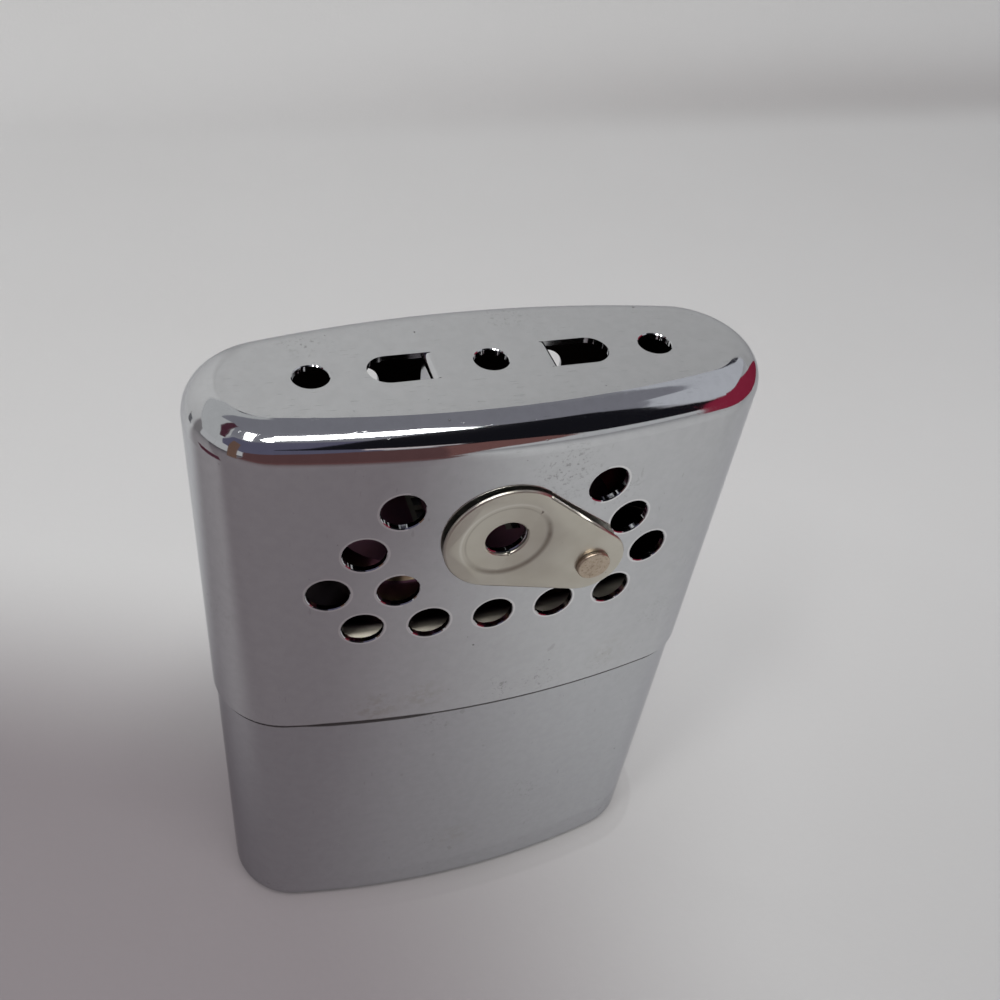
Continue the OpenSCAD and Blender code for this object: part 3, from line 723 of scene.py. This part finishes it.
# metal inside the case: tints, roughness, and the heights between which the heat has coloured it
innerMetal = {
    "collarTint": (0.46, 0.43, 0.36),
    "collarRough": 0.17,
    "collarSeamZ": 0.0479,
    "collarTopZ": 0.0626,
    # tones of the painted shade below the seam and on the collar's flat top
    "seamShadeTone": (0.02, 0.018, 0.016),
    "collarTopShade": (0.035, 0.028, 0.03),
    "neckTint": (0.58, 0.55, 0.47),
    "neckRough": 0.2,
    "skirtHeat": (0.0615, 0.069),
    "hoodHeat": (0.068, 0.0745),
    # heat colours of the steel, whose redder end is made redder still as a painted red reflection
    "heatTintsAndRedReflection": [(0.0, (0.56, 0.53, 0.46)), (0.3, (0.50, 0.38, 0.24)), (0.55, (0.43, 0.23, 0.21)),
                  (0.8, (0.33, 0.14, 0.18)), (1.0, (0.25, 0.12, 0.18))],
    # plain steel pieces: finish, tint, roughness
    "steel": {
        "burner_clips": ("clipSteel", (0.45, 0.42, 0.38), 0.25),
        "spring_washer": ("washerSteel", (0.5, 0.5, 0.5), 0.3),
        "back_washer": ("washerZinc", (0.55, 0.55, 0.54), 0.35),
        "neck_gauze": ("neck_gauzeWire", (0.35, 0.32, 0.28), 0.35),
        "lower_gauze": ("lower_gauzeWire", (0.35, 0.32, 0.28), 0.35),
        "upper_gauze": ("upper_gauzeWire", (0.35, 0.32, 0.28), 0.35),
    },
}


def drawnFinish(name, tint, rough, streak=0.25, seamAt=None):
    # drawn inner sheet, with fine upright lines from the die
    sheet = Finish(name, Metallic=1.0)
    lines = sheet.noise(1.0, 3.0, 0.6, sheet.moved((0, 0, 0), (1 / 0.00016, 1 / 0.00016, 1 / 0.02)))
    cloud = sheet.noise(0.008, 3.0, 0.5)
    tone = sheet.mix(cloud, tuple(0.85 * c for c in tint), tint)
    grain = sheet.bump(lines, 0.00003, streak)
    worn = 0.0
    if seamAt:
        # painted shade below the seam and on the flat top, and its rim is rolled over
        top, sideY = innerMetal["collarTopZ"], outline["sideY"]
        topShade = sheet.z.fade(top - 0.0004, top) * cloud.fade(0.1, 0.4, 0.75, 1.0)
        tone = sheet.mix(sheet.z.fade(seamAt + 0.0004, seamAt), tone, innerMetal["seamShadeTone"])
        tone = sheet.mix(topShade, tone, innerMetal["collarTopShade"])
        sides = sheet.away((0, sideY, top)).most(sheet.away((0, -sideY, top)))
        grain = sheet.bump(sides.fade(0.1306, 0.1298), 0.0001, 1.0, grain)
        worn = sheet.z.fade(0.0600, 0.0618, 0.0, 0.2) * sheet.z.fade(top, top - 0.00005)
    return sheet.feed(Base_Color=tone, Roughness=lines * streak * 0.4 + rough + worn, Normal=grain)


def heatFinish(name, heights):
    # thin sheet that the burner has coloured, from its lower to its upper height
    sheet = Finish(name, Metallic=1.0)
    cloud = sheet.noise(0.004, 3.0, 0.55)
    height = sheet.z.fade(*heights) + (cloud - 0.5) * 0.35
    # heat colours, partly a painted red reflection
    ramp = sheet.add("ShaderNodeValToRGB", {"stops": innerMetal["heatTintsAndRedReflection"]}, {0: height}).outputs[0]
    lines = sheet.noise(0.0005, 2.0, 0.5)
    return sheet.feed(Base_Color=ramp, Roughness=cloud * 0.15 + 0.22 + lines * 0.08,
                      Normal=sheet.bump(lines, 0.00001, 0.5))


def steelFinish(name, tint, rough):
    metal = Finish(name, Metallic=1.0)
    cloud = metal.noise(0.002, 3.0, 0.55)
    grain = metal.noise(0.0003, 2.0, 0.5)
    tone = metal.mix(cloud, tuple(0.8 * c for c in tint), tint)
    return metal.feed(Base_Color=tone, Roughness=grain * 0.12 + rough,
                      Normal=metal.bump(grain, 0.00001, 0.5))


dress("tank_top", drawnFinish("collarPlate", innerMetal["collarTint"], innerMetal["collarRough"],
                              seamAt=innerMetal["collarSeamZ"]))
dress("filler_neck", drawnFinish("neckPlate", innerMetal["neckTint"], innerMetal["neckRough"]))
dress("burner_skirt", heatFinish("skirtPlate", innerMetal["skirtHeat"]))
dress("burner_hood", heatFinish("hoodPlate", innerMetal["hoodHeat"]))
for steelName, look in innerMetal["steel"].items():
    dress(steelName, steelFinish(*look))
print("inner parts finished")


# cotton, felt and the catalyst's pad: blown-up cloth kept inside the space of their solids
softPieces = {
    "fuel_wadding": {
        "title": "cottonWadding", "body": "tank", "slot": "cotton", "fill": 0.55,
        "voxel": 0.0011, "slim": 0.0009, "pressure": 3.0, "cap": 0.0012, "skin": 0.00005,
        "lumps": (0.0070, 0.0016), "tufts": (0.0016, 0.0006),
        "fibre": ("cottonFibre", (0.74, 0.71, 0.62), (0.60, 0.56, 0.46), 0.0005),
    },
    "wick_felt": {
        "title": "feltPlug", "body": "tank", "slot": "felt", "fill": 0.9,
        "voxel": 0.00045, "slim": 0.00025, "pressure": 2.0, "cap": 0.0004, "skin": 0.00004,
        "lumps": (0.0030, 0.0003), "tufts": (0.0007, 0.00018),
        "fibre": ("feltFibre", (0.55, 0.50, 0.40), (0.38, 0.33, 0.25), 0.0003,
                  (0.0605, 0.0640, (0.10, 0.08, 0.06))),
    },
    "catalyst_mat": {
        "title": "catalystPad", "body": "burner", "slot": "catalyst", "fill": 0.7,
        "voxel": 0.00042, "slim": 0.00035, "pressure": 3.0, "cap": 0.0006, "skin": 0.00004,
        "lumps": (0.0026, 0.0004), "tufts": (0.0006, 0.0002),
        "fibre": ("catalystFibre", (0.20, 0.195, 0.19), (0.075, 0.07, 0.07), 0.0003),
    },
}
clothScale = 20.0  # cloth behaves at about this many times the real size
clothFrames = 20


def cloudTexture(name, size):
    clouds = bpy.data.textures.new(name, "CLOUDS")
    clouds.noise_scale = size
    clouds.noise_depth = 3
    return clouds


def puff(piece, pressure, cap):
    # cloth with pressure inside swells the piece, and no point moves further than cap
    piece.data.transform(Matrix.Scale(clothScale, 4))
    before = [vertex.co.copy() for vertex in piece.data.vertices]
    cloth = piece.modifiers.new("puff", "CLOTH")
    cloth.settings.use_pressure = True
    cloth.settings.uniform_pressure_force = pressure
    cloth.settings.effector_weights.gravity = 0
    for moment in range(1, clothFrames + 1):
        scene.frame_set(moment)
    pickOnly(piece)
    bpy.ops.object.modifier_apply(modifier="puff")
    scene.frame_set(1)
    reach = cap * clothScale
    for vertex, start in zip(piece.data.vertices, before):
        step = vertex.co - start
        if step.length > reach:
            vertex.co = start + step * (reach / step.length)
    piece.data.transform(Matrix.Scale(1 / clothScale, 4))


def keepInside(piece, nodeName, skin):
    solid = nodes[nodeName]
    for vertex in piece.data.vertices:
        found, spot, normal, face = solid.closest_point_on_mesh(vertex.co)
        if found and (vertex.co - spot).dot(normal) > -skin:
            vertex.co = spot - normal * skin


def fibreFinish(name, pale, dark, fibre, dirtAt=None):
    # matted fibres: two crossing sets of fine curly lines, paler than the cloudy tone between them
    wool = Finish(name, Roughness=0.95, Specular_IOR_Level=0.2, Sheen_Weight=0.35, Sheen_Roughness=0.5)
    curl = wool.noise(fibre, 4.0, 0.65, wool.moved((20, 50, 10), (1, 1, 0.25)), 1.0, 1.4)
    cross = wool.noise(fibre, 4.0, 0.65, wool.moved((70, 15, 60), (1, 0.25, 1)), 2.0, 1.4)
    lines = abs(curl - 0.5).least(abs(cross - 0.5)).fade(0.045, 0.0)
    cloud = wool.noise(fibre * 9, 3.0, 0.5, seed=5.0)
    tone = wool.mix(cloud.fade(0.35, 0.65), dark, pale)
    tone = wool.mix(lines * 0.5, tone, tuple(min(1.0, 1.25 * c) for c in pale))
    if dirtAt:
        low, high, colour = dirtAt
        tone = wool.mix((wool.z + (cloud - 0.5) * 0.002).fade(low, high) * 0.8, tone, colour)
    return wool.feed(Base_Color=tone, Normal=wool.bump(lines, fibre * 0.25, 0.8))


def makeSoft(nodeName):
    facts = softPieces[nodeName]
    piece = castOf(nodeName, facts["title"])
    piece.data.remesh_voxel_size = facts["voxel"]
    bpy.ops.object.voxel_remesh()
    applyModifier(piece, "DISPLACE", strength=-facts["slim"], mid_level=0)
    puff(piece, facts["pressure"], facts["cap"])
    applyModifier(piece, "SMOOTH", factor=0.6, iterations=4)
    applyModifier(piece, "SUBSURF", levels=1, render_levels=1)
    for grade in ("lumps", "tufts"):
        width, height = facts[grade]
        applyModifier(piece, "DISPLACE", texture=cloudTexture(facts["title"] + grade, width),
                      texture_coords="LOCAL", strength=height, mid_level=0.55)
    keepInside(piece, nodeName, facts["skin"])
    pickOnly(piece)
    bpy.ops.object.shade_smooth()
    piece.data.materials.clear()
    piece.data.materials.append(fibreFinish(*facts["fibre"]))
    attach(piece, facts["body"])
    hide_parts(nodeName)
    print("soft piece:", facts["title"], len(piece.data.polygons), "faces")


for softName in softPieces:
    makeSoft(softName)
print("soft pieces finished")
